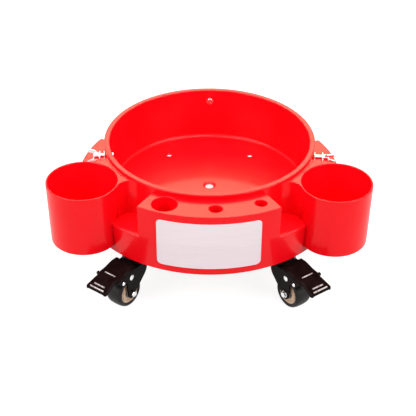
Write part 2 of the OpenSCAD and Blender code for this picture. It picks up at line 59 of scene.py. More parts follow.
BASE_IN, BASE_Z = TUB_OUT + SEAT_GAP, -27.0
LEDGE_R, LEDGE_Z, LEDGE_ROUND = TUB_OUT + 46.5, 27.0, 4.0
BASE_R, SHELL = LEDGE_R - 5.0, 3.0
PAD_HALF, END_WALL = 10.7, 1
RACK_R, RACK_Z, RACK_HALF = LEDGE_R + 2.0, LIP_Z - 4.0, 30.0
RACK_AZ = 270
SOCKET_RING = (BASE_IN + RACK_R) / 2 + 1.2
SOCKETS = [(-110.3, 19.0), (-87.1, 10.0), (-66.3, 9.0)]         # direction, radius

CUP_AZ, CUP_TOP_R, CUP_WALL = math.radians(32.44), 54.1, 2.6
CUP_FOOT_R = CUP_TOP_R - 2.7
CUP_TOP, CUP_FOOT = LIP_Z, -17.0
CUP_REACH = TUB_OUT + 7.7 + CUP_TOP_R
CUP_X, CUP_Y = CUP_REACH * math.cos(CUP_AZ), CUP_REACH * math.sin(CUP_AZ)
NECK_FILLET = 20.0

LABEL_Z, LABEL_H, LABEL_HALF, LABEL_CORNER, LABEL_T = BASE_Z + 12, 82.0, 21.6, 7.0, 0.8

CLAMP_Z, CLAMP_R, CLAMP_LEN, CLAMP_AZ = TUB_DEPTH - 20, 4.0, 20.0, 7.5
BOSS_R, INSERT_R, INSERT_SET_BACK = 10.0, 6.0, 1.0
CLAMPS = [("left", 180 + CLAMP_AZ, TUB_IN - 5), ("right", -CLAMP_AZ, TUB_IN),
          ("back", 90, TUB_IN)]                                 # name, direction, tip's radius

FRONT_AZ, FRONT_TURN = 38, 1
CASTERS = [("front_left", -90 - FRONT_AZ, FRONT_TURN), ("front_right", -90 + FRONT_AZ, -FRONT_TURN),
           ("side_right", 18, 0), ("back", 90, 0), ("side_left", 162, 0)]   # name, direction, turn
BASE_END = CASTERS[2][1] + PAD_HALF
SWIVEL_R = (BASE_IN + BASE_R) / 2 + 0.2
TRAIL, AXLE_Z, WHEEL_R, HALF_W = 29.0, -54.0, 25.4, 14.0
RIM_R = WHEEL_R - 7.4
KINGPIN_R, AXLE_R, BEARING_R, NUT_R = 5.0, 3.0, 9.5, 4.8
KINGPIN_BORE = KINGPIN_R + RUN_GAP
PLATE_X, PLATE_Y, PLATE_T = BASE_R - BASE_IN - 2 * 3.7, 58.0, 2.5
RACE_R, RACE_Z, RACE_H = 19.0, -PLATE_T, 5.5
BALL_R, BALL_RING, BALL_Z = 2.0, RACE_R - 4.5, RACE_Z - 5
FORK_TOP = RACE_Z - RACE_H - 0.6
CROWN_Z, FORK_T = FORK_TOP - 3, 2.5
LEG_IN, LEG_END = HALF_W + 1.5, TRAIL + 10
LEG_OUT = LEG_IN + FORK_T

PEDAL_T, PEDAL_TIP = 2.0, 90.5
PEDAL_REACH = PEDAL_TIP - 0.3       # short of the solid's tip, which has square corners
CHEEK_OUT, CHEEK_END, SHOE_X = LEG_OUT + PASS_GAP + PEDAL_T, TRAIL + 34, TRAIL + 14
BRAKE_PIN_R = 2.5
BRAKE_PIN = (TRAIL + 4, AXLE_Z + 33)
PEDAL_TOP = [(RACE_R + 3, CROWN_Z + 5), (TRAIL + 3, CROWN_Z + 5.4), (TRAIL + 19, CROWN_Z + 1.8),
             (CHEEK_END + 1, CROWN_Z + 0.8), (PEDAL_REACH, CROWN_Z - 7.6)]


def skin_r(z):
    """Radius of the outer skin of base and rack at a height."""
    if z <= LEDGE_Z:
        return BASE_R + (LEDGE_R - BASE_R) * (z - BASE_Z) / (LEDGE_Z - BASE_Z)
    return LEDGE_R + (RACK_R - LEDGE_R) * (z - LEDGE_Z) / (RACK_Z - LEDGE_Z)


def cup_r(z):
    """Outer radius of a cup at a height."""
    return CUP_FOOT_R + (CUP_TOP_R - CUP_FOOT_R) * (z - CUP_FOOT) / (CUP_TOP - CUP_FOOT)


# ---------------------------------------- mesh library

def span(start, end, step, *extra):
    """Even steps from start to end with extra values in between, in order."""
    count = max(1, round((end - start) / step))
    return sorted({start + (end - start) * k / count for k in range(count + 1)} | set(extra))


def arc(cx, cy, r, start, end, count):
    """Points of an arc, in degrees, both ends included."""
    angles = [math.radians(start + (end - start) * k / count) for k in range(count + 1)]
    return [(cx + r * math.cos(a), cy + r * math.sin(a)) for a in angles]


def rectangle(x0, x1, half):
    """A rectangle from x0 to x1 and half a width to each side of the X axis."""
    return [(x0, -half), (x1, -half), (x1, half), (x0, half)]


def rounded_outline(x, y, r, per_corner):
    """Points of a rectangle with round corners, centred."""
    points = []
    for cx, cy, start in ((x / 2 - r, y / 2 - r, 0), (r - x / 2, y / 2 - r, 90),
                          (r - x / 2, r - y / 2, 180), (x / 2 - r, r - y / 2, 270)):
        points += arc(cx, cy, r, start, start + 90, per_corner)
    return points


def dense(points, longest):
    """A closed outline with its long edges divided."""
    out = []
    for a, b in zip(points, points[1:] + points[:1]):
        count = max(1, math.ceil(math.dist(a, b) / longest))
        out += [(a[0] + (b[0] - a[0]) * k / count, a[1] + (b[1] - a[1]) * k / count)
                for k in range(count)]
    return out


def linked(name, data):
    """A new object in the scene."""
    obj = bpy.data.objects.new(name, data)
    bpy.context.scene.collection.objects.link(obj)
    return obj


def loft(rings, closed=False):
    """A skin over rings of 3D points, all of as many points: capped, or closed on itself."""
    bm = bmesh.new()
    made = [[bm.verts.new(p) for p in ring] for ring in rings]
    pairs = list(zip(made, made[1:]))
    if closed:
        pairs.append((made[-1], made[0]))
    for a, b in pairs:
        for k in range(len(a)):
            j = (k + 1) % len(a)
            bm.faces.new((a[k], a[j], b[j], b[k]))
    if not closed:
        bm.faces.new(made[0])
        bm.faces.new(list(reversed(made[-1])))
    bmesh.ops.remove_doubles(bm, verts=bm.verts, dist=1e-5)
    bmesh.ops.recalc_face_normals(bm, faces=bm.faces)
    mesh = bpy.data.meshes.new("shape")
    bm.to_mesh(mesh)
    bm.free()
    return linked("shape", mesh)


def sweep(section, angles, closed=False):
    """A profile of (radius, height) points, given for each angle, carried round Z."""
    rings = []
    for degrees in angles:
        a = math.radians(degrees)
        rings.append([(r * math.cos(a), r * math.sin(a), z) for r, z in section(degrees)])
    return loft(rings, closed)


def lathe(profile, count):
    """A closed profile turned all the way round Z."""
    return sweep(lambda a: profile, [360.0 * k / count for k in range(count)], closed=True)


def sector(profile, start, end, step=1.5):
    """A closed profile turned round Z from one direction to another."""
    return sweep(lambda a: profile, span(start, end, step))


def rod(r, low, high, count):
    """A plain cylinder on Z."""
    return lathe([(0, low), (r, low), (r, high), (0, high)], count)


def prism(outline, low, high):
    """A flat outline raised along Z."""
    return loft([[(x, y, low) for x, y in outline], [(x, y, high) for x, y in outline]])


def move(obj, matrix):
    """Carries a shape's mesh over, with its faces still outwards after a mirroring."""
    obj.data.transform(matrix)
    if matrix.determinant() < 0:
        obj.data.flip_normals()
    return obj


def turned(degrees, axis="Z"):
    return Matrix.Rotation(math.radians(degrees), 4, axis)


def shifted(x, y, z):
    return Matrix.Translation((x, y, z))


# Stands an outline in X and Y up in X and Z, and lays what is turned round Z along Y.
UPRIGHT = turned(90, "X")
# Turns an outline in Y and Z, drawn as X and Y, so that it is raised along X.
ALONG_X = Matrix(((0, 0, 1, 0), (1, 0, 0, 0), (0, 1, 0, 0), (0, 0, 0, 1)))


def clamp_frame(az, r):
    """A clamp screw's frame: Z along the screw, outwards from a radius."""
    return turned(az) @ shifted(r, 0, CLAMP_Z) @ turned(90, "Y")


def cup_frame(side):
    return shifted(side * CUP_X, -CUP_Y, 0)


def combine(obj, tool, how):
    """Applies one boolean and deletes its tool."""
    modifier = obj.modifiers.new("boolean", "BOOLEAN")
    modifier.operation, modifier.solver, modifier.object = how, "EXACT", tool
    bpy.context.view_layer.update()
    graph = bpy.context.evaluated_depsgraph_get()
    made = bpy.data.meshes.new_from_object(obj.evaluated_get(graph))
    obj.modifiers.clear()
    old, obj.data = obj.data, made
    bpy.data.meshes.remove(old)
    bpy.data.objects.remove(tool)
    return obj


def cut(obj, *tools):
    """Takes shapes away from another, one after the other."""
    for tool in tools:
        combine(obj, tool, "DIFFERENCE")
    return obj


def join(obj, *others):
    """Puts the meshes of other shapes into one, without a boolean."""
    bm = bmesh.new()
    for o in (obj, *others):
        bm.from_mesh(o.data)
    old = obj.data
    mesh = bpy.data.meshes.new("joined")
    bm.to_mesh(mesh)
    bm.free()
    obj.data = mesh
    bpy.data.meshes.remove(old)
    for o in others:
        bpy.data.objects.remove(o)
    return obj


def round_edges(obj, width, segments, sharper=35, pick=None):
    """Rounds the edges that are sharper than an angle, and that pick allows."""
    bm = bmesh.new()
    bm.from_mesh(obj.data)
    limit = math.radians(sharper)
    edges = [e for e in bm.edges
             if len(e.link_faces) == 2 and e.calc_face_angle(0) > limit
             and (pick is None or pick(e.verts[0].co, e.verts[1].co))]
    bmesh.ops.bevel(bm, geom=edges, offset=width, offset_type="OFFSET", segments=segments,
                    profile=0.5, affect="EDGES", clamp_overlap=True)
    bm.to_mesh(obj.data)
    bm.free()
    return obj


# ---------------------------------------- pieces

def settle(name, obj, body, nodes, at):
    """Names a piece, puts it in its place in metres, and ties it to its body."""
    obj.name = name
    weighted = obj.modifiers.new("normals", "WEIGHTED_NORMAL")
    weighted.keep_sharp = True
    place = at.copy()
    place.translation *= MM
    obj.matrix_world = place
    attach(obj, body)
    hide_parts(*nodes)
    return obj


def piece(name, obj, body, slot, nodes, at=Matrix(), finish=None, smooth=38):
    """Makes a shape a piece of the object: in metres, smooth, dressed, and on its body.

    Its finish is the material of its slot's name, unless another is given.
    """
    mesh = obj.data
    mesh.name = name
    mesh.transform(Matrix.Scale(MM, 4))
    mesh.shade_smooth()
    mesh.set_sharp_from_angle(angle=math.radians(smooth))
    mesh.materials.clear()
    mesh.materials.append(FINISH[finish or slot])
    return settle(name, obj, body, nodes, at)


made_once = {}


def repeated(kind, label, make, body, slot, node, at, finish=None):
    """A piece whose shape is made once and used again where the same kind comes back."""
    name = f"{kind}_{label}"
    if kind in made_once:
        settle(name, linked(name, made_once[kind].data), body, [node], at)
    else:
        made_once[kind] = piece(name, make(), body, slot, [node], at, finish)


# ---------------------------------------- materials

class Nodes:
    """A material's node tree, with short calls for the nodes used here."""

    # What a noise really fills of its range.
    LOW, HIGH = 0.3, 0.7

    def __init__(self, name):
        self.material = bpy.data.materials.new(name)
        self.material.use_nodes = True
        self.tree = self.material.node_tree
        self.shader = self.tree.nodes["Principled BSDF"]
        self.coords = self.tree.nodes.new("ShaderNodeTexCoord").outputs["Object"]

    def add(self, kind, inputs, **settings):
        node = self.tree.nodes.new(kind)
        for key, value in settings.items():
            setattr(node, key, value)
        for key, value in inputs.items():
            self.put(node.inputs[key], value)
        return node

    def put(self, socket, value):
        if isinstance(value, bpy.types.NodeSocket):
            self.tree.links.new(value, socket)
        else:
            socket.default_value = value

    def set(self, **inputs):
        """Sets the shader's sockets, with _ for each space in a name."""
        for key, value in inputs.items():
            self.put(self.shader.inputs[key.replace("_", " ")], value)

    def stretched(self, scale):
        """Object coordinates, stretched."""
        node = self.add("ShaderNodeMapping", {"Vector": self.coords, "Scale": scale})
        return node.outputs["Vector"]

    def noise(self, scale, detail=3.0, roughness=0.55, vector=None):
        node = self.add("ShaderNodeTexNoise", {
            "Vector": vector or self.coords, "Scale": scale, "Detail": detail,
            "Roughness": roughness})
        return node.outputs["Fac"]

    def rings(self, scale):
        """Rings round Z, a little uneven."""
        node = self.add("ShaderNodeTexWave", {
            "Vector": self.coords, "Scale": scale, "Distortion": 0.4, "Detail": 2.0},
            wave_type="RINGS", rings_direction="Z")
        return node.outputs["Fac"]

    def tones(self, factor, dark, light, low=LOW, high=HIGH):
        """From one colour to another as a factor rises from low to high."""
        node = self.add("ShaderNodeValToRGB", {"Fac": factor})
        stops = ((low, dark), (high, light))
        for element, (position, colour) in zip(node.color_ramp.elements, stops):
            element.position = position
            element.color = (*colour, 1)
        return node.outputs["Color"]

    def spread(self, factor, low, high):
        """A factor carried over to another range."""
        node = self.add("ShaderNodeMapRange", {
            "Value": factor, "From Min": self.LOW, "From Max": self.HIGH,
            "To Min": low, "To Max": high})
        return node.outputs["Result"]

    def bump(self, height, distance, strength):
        """A normal from a height; the distance is in metres."""
        node = self.add("ShaderNodeBump", {
            "Height": height, "Distance": distance, "Strength": strength})
        return node.outputs["Normal"]


def red_plastic():
    """Injection-moulded plastic: even red, satin under a thin gloss, very fine orange peel."""
    n = Nodes("red_plastic")
    cloud, peel = n.noise(14.0, 2.0), n.noise(220.0, 1.0)
    n.set(Base_Color=n.tones(cloud, (0.84, 0.001, 0.005), (0.88, 0.002, 0.008)),
          Roughness=n.spread(n.noise(60.0), 0.32, 0.40),
          Normal=n.bump(peel, 0.00002, 0.15),
          Specular_IOR_Level=0.10, Coat_Weight=0.22, Coat_Roughness=0.10)
    return n.material


def label_metal():
    """Brushed silver foil: fine lines along the label, a faint cloudiness."""
    n = Nodes("label_metal")
    lines = n.noise(1.0, 4.0, 0.7, n.stretched((16.0, 16.0, 2600.0)))
    n.set(Base_Color=n.tones(lines, (0.66, 0.57, 0.61), (0.80, 0.70, 0.74)),
          Metallic=0.35,
          Roughness=n.spread(lines, 0.34, 0.5),
          Normal=n.bump(lines, 0.00004, 0.5))
    return n.material


def bright_steel():
    """Chromed screws, nuts and pins."""
    n = Nodes("bright_steel")
    n.set(Base_Color=n.tones(n.noise(160.0), (0.72, 0.72, 0.73), (0.86, 0.86, 0.87)),
          Metallic=1.0,
          Roughness=n.spread(n.noise(420.0), 0.12, 0.24),
          Normal=n.bump(n.noise(1500.0, 2.0), 0.00003, 0.3))
    return n.material


def black_steel():
    """Stamped steel with a glossy black coat."""
    n = Nodes("black_steel")
    n.set(Base_Color=n.tones(n.noise(70.0, 4.0), (0.004, 0.002, 0.002), (0.009, 0.005, 0.005)),
          Roughness=n.spread(n.noise(130.0, 4.0), 0.14, 0.26),
          Normal=n.bump(n.noise(700.0), 0.00005, 0.3),
          Specular_IOR_Level=0.035)
    return n.material


def worn_steel():
    """Ribs of the pedals: their light grey metal is a painted highlight on their tops, in place of
    the lamps' glint on glossy black.
    """
    n = Nodes("worn_steel")
    glint = n.noise(240.0, 4.0, 0.65)
    # The light grey tones here are a painted highlight, where lamps would glint on the ribs' tops.
    n.set(Base_Color=n.tones(glint, (0.10, 0.08, 0.08), (0.62, 0.58, 0.57), 0.32, 0.6),
          Metallic=0.5,
          Roughness=n.spread(glint, 0.45, 0.3),
          Normal=n.bump(glint, 0.00004, 0.4))
    return n.material


def black_tread():
    """Dark polyurethane tread, satin, with faint wear round it."""
    n = Nodes("black_tread")
    wear = n.noise(1.0, 4.0, 0.6, n.stretched((90.0, 90.0, 420.0)))
    n.set(Base_Color=n.tones(wear, (0.006, 0.004, 0.004), (0.013, 0.009, 0.010), high=0.75),
          Roughness=n.spread(wear, 0.36, 0.5),
          Normal=n.bump(n.noise(1100.0), 0.00008, 0.5),
          Specular_IOR_Level=0.2)
    return n.material


def bronze_hub():
    """Tan hub face, turned, with fine rings left by the tool."""
    n = Nodes("bronze_hub")
    turning = n.rings(420.0)
    n.set(Base_Color=n.tones(turning, (0.50, 0.33, 0.22), (0.80, 0.60, 0.44), 0.25, 0.8),
          Metallic=0.25,
          Roughness=n.spread(n.noise(300.0), 0.34, 0.5),
          Normal=n.bump(turning, 0.00008, 0.6))
    return n.material


def bearing_steel():
    """Dark sealed bearing faces."""
    n = Nodes("bearing_steel")
    n.set(Base_Color=n.tones(n.noise(260.0), (0.10, 0.095, 0.09), (0.20, 0.19, 0.18)),
          Metallic=0.9,
          Roughness=n.spread(n.noise(500.0), 0.28, 0.45),
          Normal=n.bump(n.noise(1500.0, 2.0), 0.00003, 0.4))
    return n.material


FINISH = {
    "red_plastic": red_plastic(), "label_metal": label_metal(), "bright_steel": bright_steel(),
    "black_steel": black_steel(), "worn_steel": worn_steel(), "black_tread": black_tread(),
    "bronze_hub": bronze_hub(), "bearing_steel": bearing_steel()}

# ---------------------------------------- moulded pieces


def hole(r, flare, low, high, count=48):
    """A round cutter whose mouth at z = high opens by a rounded flare."""
    above = high + 5
    profile = [(0, low), (r, low), (r, high - flare)]
    profile += arc(r + flare, high - flare, flare, 180, 90, 5)[1:]
    profile += [(r + flare, above), (0, above)]
    return lathe(profile, count)


def drain_dish():
    """Half section of the shallow dish round the middle drain, up from the floor's underside."""
    bottom, top_r = -2.3, 9.6
    return [(CENTRE_R, -FLOOR_T), (CENTRE_R, bottom), (CENTRE_R + 0.3, bottom + 0.2),
            (top_r, -1.0), (top_r + 0.4, -0.4), (top_r + 1.3, 0)]


def tub_profile():
    """Half section of the tub, from its middle drain over the rim to the skirt."""
    in_edge, out_edge, lip_edge, lip_fillet, skirt_edge = 1.7, 1.6, 0.5, 0.8, 0.5
    floor_cuts, wall_cuts, outside_cuts = (60, 120), (30, 60), (55, 27)    # keep the faces short
    profile = drain_dish() + [(r, 0) for r in floor_cuts]
    profile += arc(TUB_IN - FLOOR_FILLET, FLOOR_FILLET, FLOOR_FILLET, 270, 360, 8)
    profile += [(TUB_IN, z) for z in wall_cuts]
    profile += arc(TUB_IN + in_edge, TUB_DEPTH - in_edge, in_edge, 180, 90, 6)
    profile += arc(LIP_R - out_edge, TUB_DEPTH - out_edge, out_edge, 90, 0, 5)
    profile += arc(LIP_R - lip_edge, LIP_Z + lip_edge, lip_edge, 0, -90, 2)
    profile += arc(TUB_OUT + lip_fillet, LIP_Z - lip_fillet, lip_fillet, 90, 180, 3)
    profile += [(TUB_OUT, z) for z in outside_cuts]
    profile += [(TUB_OUT, BASE_Z + skirt_edge), (TUB_OUT - skirt_edge, BASE_Z),
                (SKIRT_IN + skirt_edge, BASE_Z), (SKIRT_IN, BASE_Z + skirt_edge),
                (SKIRT_IN, -FLOOR_T - 2), (SKIRT_IN - 2, -FLOOR_T)]
    return profile


def make_boss():
    """The round boss in the tub's wall that a clamp screw's insert sits in."""
    foot, edge = -4, 0.9
    return lathe([(0, foot), (BOSS_R, foot), (BOSS_R, LIP_OUT - edge)]
                 + arc(BOSS_R - edge, LIP_OUT - edge, edge, 0, 90, 4)[1:] + [(0, LIP_OUT)], 48)


def make_tub():
    """The tub with its bosses, drains and the ribs under its floor."""
    tub = lathe(tub_profile(), 240)
    for _, az, _ in CLAMPS:
        combine(tub, move(make_boss(), clamp_frame(az, TUB_OUT)), "UNION")
    for k in range(5):
        drain = hole(DRAIN_R, 0.9, -FLOOR_T - 6, 0)
        cut(tub, move(drain, turned(72 * k - 18) @ shifted(DRAIN_RING, 0, 0)))
    for _, az, _ in CLAMPS:
        cut(tub, move(rod(INSERT_R + RUN_GAP, -20, 20, 48), clamp_frame(az, TUB_OUT)))
    ribs = []
    for k in range(5):
        rib = prism(rectangle(RIB_IN, TUB_OUT - 3, RIB_T / 2), BASE_Z + 9, -FLOOR_T + 0.5)
        ribs.append(move(round_edges(rib, 0.4, 2), turned(72 * k + 18)))
    return join(tub, *ribs)


def base_section(rounding):
    """Section of the base for each direction, its ledge's edge rounded by rounding(direction)."""
    edge = 0.3

    def section(az):
        r = rounding(az)
        side = skin_r(LEDGE_Z - r)
        return ([(BASE_R - 0.4, BASE_Z), (BASE_IN + edge, BASE_Z), (BASE_IN, BASE_Z + edge),
                 (BASE_IN, LEDGE_Z)]
                + arc(side - r, LEDGE_Z - r, r, 90, 0, 8) + [(BASE_R + 0.03, BASE_Z + 0.4)])
    return section


def base_hollow():
    """Section of the hollow inside the base, open below."""
    return [(BASE_IN + SHELL, BASE_Z - 1), (BASE_R - SHELL, BASE_Z - 1),
            (LEDGE_R - SHELL - LEDGE_ROUND / 2, LEDGE_Z - SHELL - LEDGE_ROUND / 2),
            (LEDGE_R - SHELL - LEDGE_ROUND, LEDGE_Z - SHELL), (BASE_IN + SHELL, LEDGE_Z - SHELL)]


def hollow_out(obj, first, last):
    """Cuts the base's hollow out of a sector, with walls left at its ends."""
    return cut(obj, sector(base_hollow(), first + END_WALL, last - END_WALL, 3))


def end_rounding(obj, width, ends):
    """Rounds the edges of a sector's two end faces, apart from those on the tub's wall."""
    def at_end(a, b):
        for p in (a, b):
            az = math.degrees(math.atan2(p.y, p.x))
            if min(abs((az - e + 180) % 360 - 180) for e in ends) > 0.01:
                return False
            if math.hypot(p.x, p.y) < BASE_IN + 1:
                return False
        return True
    return round_edges(obj, width, 3, 30, at_end)


def make_base():
    """The channel round the front and sides, with pockets for the cups and three inner ribs."""
    first, last = 180 - BASE_END, 360 + BASE_END
    left, right = RACK_AZ - RACK_HALF, RACK_AZ + RACK_HALF
    inset, sharp = 0.12, 0.02

    def rounding(az):
        """The ledge's edge is round beside the rack and sharp under it."""
        return sharp if left + inset < az < right - inset else LEDGE_ROUND
    changes = [left + inset * 0.9, left + inset * 1.1, right - inset * 0.9, right - inset * 1.1]
    base = sweep(base_section(rounding), span(first, last, 1.5, *changes))
    end_rounding(base, 1.0, (first, last))
    hollow_out(base, first, last)
    for side in (-1, 1):
        pocket = rod(cup_r(LEDGE_Z) + SEAT_GAP, CUP_FOOT - SEAT_GAP, LEDGE_Z + 2, 120)
        cut(base, move(pocket, cup_frame(side)))
    margin, rib_half = SHELL / 2, 0.5
    rib = [(BASE_IN + margin, BASE_Z + 1), (BASE_R - margin, BASE_Z + 1),
           (BASE_R - margin, LEDGE_Z - 2), (BASE_IN + margin, LEDGE_Z - 2)]
    ribs = []
    for k in (-1, 0, 1):
        az = RACK_AZ + k * RACK_HALF / 2
        ribs.append(sector(rib, az - rib_half, az + rib_half, 1))
    return join(base, *ribs)


def make_back_pod():
    """The short piece of the same channel that carries the back caster."""
    first, last = 90 - PAD_HALF, 90 + PAD_HALF
    pod = sweep(base_section(lambda az: LEDGE_ROUND), span(first, last, 1.5))
    end_rounding(pod, 1.0, (first, last))
    return hollow_out(pod, first, last)


def make_rack():
    """The tool rack's block on the ledge, with three sockets."""
    half_way = 45                    # divides the skin above the ledge
    profile = [(BASE_IN, LEDGE_Z), (LEDGE_R, LEDGE_Z), (skin_r(half_way), half_way),
               (RACK_R, RACK_Z), (BASE_IN, RACK_Z)]
    rack = sector(profile, RACK_AZ - RACK_HALF, RACK_AZ + RACK_HALF)

    def seen(a, b):
        """Not the edges on the ledge, nor those on the tub's wall."""
        low = max(a.z, b.z) < LEDGE_Z + 0.1
        inner = all(math.hypot(p.x, p.y) < BASE_IN + 1 for p in (a, b))
        return not low and not inner
    round_edges(rack, 1.2, 3, 35, seen)
    for az, r in SOCKETS:
        socket = hole(r, 0.9, LEDGE_Z + SHELL, RACK_Z, 72)
        cut(rack, move(socket, turned(az) @ shifted(SOCKET_RING, 0, 0)))
    return rack


def make_label():
    """A thin sheet bent round the skin, with a fine groove inside its edge."""
    width = 2 * LEDGE_R * math.sin(math.radians(LABEL_HALF))
    mid = LABEL_Z + LABEL_H / 2
    outline = dense(rounded_outline(width, LABEL_H, LABEL_CORNER, 6), 4.0)

    def ring(inset, height):
        fx, fy = 1 - 2 * inset / width, 1 - 2 * inset / LABEL_H
        points = []
        for x, z in outline:
            px, pz = x * fx, mid + z * fy
            r = skin_r(pz) + SEAT_GAP / 2 + height
            points.append((px, -math.sqrt(r * r - px * px), pz))
        return points
    face, groove, count = LABEL_T - 0.08, LABEL_T - 0.2, 12
    edge = [(0, 0), (0, 0.5), (0.2, 0.75), (0.45, LABEL_T), (1.6, LABEL_T), (1.8, groove),
            (2.3, groove), (2.5, face)]                         # inset, height
    rings = [ring(*step) for step in edge]
    rings += [ring(LABEL_H / 2 * k / count, face) for k in range(1, count)]
    rings.append(ring(LABEL_H / 2 - 0.05, face))
    return loft(rings)


def make_cup():
    """A tapered cup with a round rim and a recess under its foot."""
    foot_edge, rim, in_fillet = 3.0, CUP_WALL / 2, 4
    recess, ring_w, floor_t = 1.5, 7.5, 3.0
    floor_z, foot_in = CUP_FOOT + floor_t, CUP_FOOT_R - CUP_WALL
    low, high = CUP_FOOT + 20, CUP_FOOT + 60                    # divide the wall
    profile = [(0, CUP_FOOT + recess), (CUP_FOOT_R - ring_w - 0.5, CUP_FOOT + recess),
               (CUP_FOOT_R - ring_w, CUP_FOOT)]
    profile += arc(CUP_FOOT_R - foot_edge, CUP_FOOT + foot_edge, foot_edge, -90, 0, 6)
    profile += [(cup_r(low), low), (cup_r(high), high)]
    profile += arc(CUP_TOP_R - rim, CUP_TOP - rim, rim, 0, 180, 8)
    profile += [(cup_r(high) - CUP_WALL, high), (cup_r(low) - CUP_WALL, low)]
    profile += arc(foot_in - in_fillet, floor_z + in_fillet, in_fillet, 0, -90, 6)
    profile += [(0, floor_z)]
    return lathe(profile, 144)


def neck_outline():
    """The web between tub and cup, with sides that touch both as fillets do."""
    to_tub, to_cup = TUB_OUT + NECK_FILLET, CUP_TOP_R + NECK_FILLET
    along = (to_tub ** 2 - to_cup ** 2 + CUP_REACH ** 2) / (2 * CUP_REACH)
    across = math.sqrt(to_tub ** 2 - along ** 2)
    at_tub = math.degrees(math.atan2(across, along))
    at_cup = math.degrees(math.atan2(across, CUP_REACH - along))
    in_tub, in_cup = 1.5, 1.2        # how deep the web's ends reach into the walls
    points = arc(0, 0, TUB_OUT - in_tub, -at_tub, at_tub, 16)
    points += arc(along, across, NECK_FILLET, 180 + at_tub, 360 - at_cup, 14)
    points += arc(CUP_REACH, 0, CUP_TOP_R - in_cup, 180 - at_cup, 180 + at_cup, 12)
    points += arc(along, -across, NECK_FILLET, at_cup, 180 - at_tub, 14)
    c, s = math.cos(-CUP_AZ), math.sin(-CUP_AZ)
    return [(x * c - y * s, x * s + y * c) for x, y in points]


def make_neck(side):
    """One neck, its top edges rounded and a shallow groove across it; the left is a mirror."""
    neck = prism(neck_outline(), LEDGE_Z, CUP_TOP)

    def rim(a, b):
        """The top edges between the tub's wall and the cup's."""
        if min(a.z, b.z) < CUP_TOP - 0.1:
            return False
        return all(math.hypot(p.x, p.y) > TUB_OUT
                   and math.hypot(p.x - CUP_X, p.y + CUP_Y) > CUP_TOP_R - 0.5 for p in (a, b))
    round_edges(neck, 0.8, 3, 35, rim)
    groove_r, foot, mouth, depth = TUB_OUT + 7.5, 0.5, 0.8, 0.6
    cut(neck, sector([(groove_r - foot, CUP_TOP - depth), (groove_r + foot, CUP_TOP - depth),
                      (groove_r + mouth, CUP_TOP + 1), (groove_r - mouth, CUP_TOP + 1)],
                     -60, 0, 1))
    if side < 0:
        move(neck, Matrix.Scale(-1, 4, (1, 0, 0)))
    return neck


piece("tub_shell", make_tub(), "root", "red_plastic", ["tub"])
piece("base_shell", make_base(), "root", "red_plastic", ["base"])
piece("back_pod_shell", make_back_pod(), "root", "red_plastic", ["back_pod"])
piece("rack_block", make_rack(), "root", "red_plastic", ["tool_rack"])
piece("label_sheet", make_label(), "root", "label_metal", ["label_plate"], smooth=50)
for name, side in (("left", -1), ("right", 1)):
    piece(f"cup_shell_{name}", make_cup(), "root", "red_plastic", [f"cup_{name}"],
          at=cup_frame(side))
    piece(f"neck_web_{name}", make_neck(side), "root", "red_plastic", [f"neck_{name}"])

# ---------------------------------------- clamp screws


def make_wing():
    """One ear of the screw's grip, standing in X and Z."""
    root, tip_x, tip_z, tip_r, half_t = 3.2, 8.6, 17.0, 3.4, 1.3
    outline = [(root, root), (6.5, 4.4), (9.2, 8.5)]
    outline += arc(tip_x, tip_z, tip_r, -35, 120, 10)
    outline += [(5.2, 16.5), (4.0, 12.5), (root, 10.2)]
    return round_edges(move(prism(outline, -half_t, half_t), UPRIGHT), 0.9, 3, 40)


def make_clamp_screw():
    """Threaded shaft on Z with its tip at the origin, a flange, a domed hub and two ears."""
    tip_edge, flange_r, flange_edge = 0.8, 8.0, 0.8
    thread_from, threads, pitch, depth = 1.5, 20, 0.9, 0.45
    hub_r, hub_h, dome = 4.9, 11, 1.5
    profile = [(0, 0)] + arc(CLAMP_R - tip_edge, tip_edge, tip_edge, -90, 0, 4)
    for k in range(threads):
        z = thread_from + pitch * k
        profile += [(CLAMP_R, z), (CLAMP_R - depth, z + 0.35), (CLAMP_R, z + 0.7)]
    profile += [(CLAMP_R, CLAMP_LEN)]
    profile += arc(flange_r - flange_edge, CLAMP_LEN + flange_edge, flange_edge, -90, 90, 6)
    profile += [(6.2, CLAMP_LEN + 1.7), (5.4, CLAMP_LEN + 2.6), (5.0, CLAMP_LEN + 4.5),
                (hub_r, CLAMP_LEN + 9)]
    top = CLAMP_LEN + hub_h
    profile += arc(hub_r - dome, top - dome, dome, 0, 90, 5) + [(0, top)]
    ears = [move(make_wing(), turned(30 + turn) @ shifted(0, 0, CLAMP_LEN)) for turn in (0, 180)]
    return join(lathe(profile, 48), *ears)


def make_insert():
    """Steel insert with a thin flange outside the boss."""
    bore = CLAMP_R + RUN_GAP
    length = TUB_WALL + LIP_OUT - INSERT_SET_BACK
    flange_r, top = INSERT_R + 1.5, length + 1.2
    return lathe([(bore, 0.4), (bore + 0.4, 0), (INSERT_R, 0), (INSERT_R, length),
                  (flange_r - 0.3, length), (flange_r, length + 0.3), (flange_r, top - 0.4),
                  (flange_r - 0.4, top), (bore + 0.5, top), (bore, top - 0.4)], 48)


for name, az, tip in CLAMPS:
    repeated("wing_screw", name, make_clamp_screw, f"clamp_{name}", "bright_steel",
             f"clamp_screw_{name}", clamp_frame(az, tip))
    repeated("insert", name, make_insert, "root", "bright_steel", "clamp_inserts",
             clamp_frame(az, TUB_IN + INSERT_SET_BACK))

# ---------------------------------------- casters
# A caster's frame has Z on its swivel axis, X along its trail and the base's bottom at z = 0.


def make_plate():
    """Top plate with the pressed dish that the race seats in."""
    dish_r, dish_edge, dish_z = 15.5, 0.5, -PLATE_T - 0.9
    plate = prism(rounded_outline(PLATE_X, PLATE_Y, 5, 6), -PLATE_T, 0)
    round_edges(plate, 0.5, 2, 40)
    dish = lathe([(KINGPIN_BORE, dish_z), (KINGPIN_BORE, dish_z + 1), (dish_r, dish_z + 1),
                  (dish_r - dish_edge, dish_z)], 48)
    return join(plate, dish)


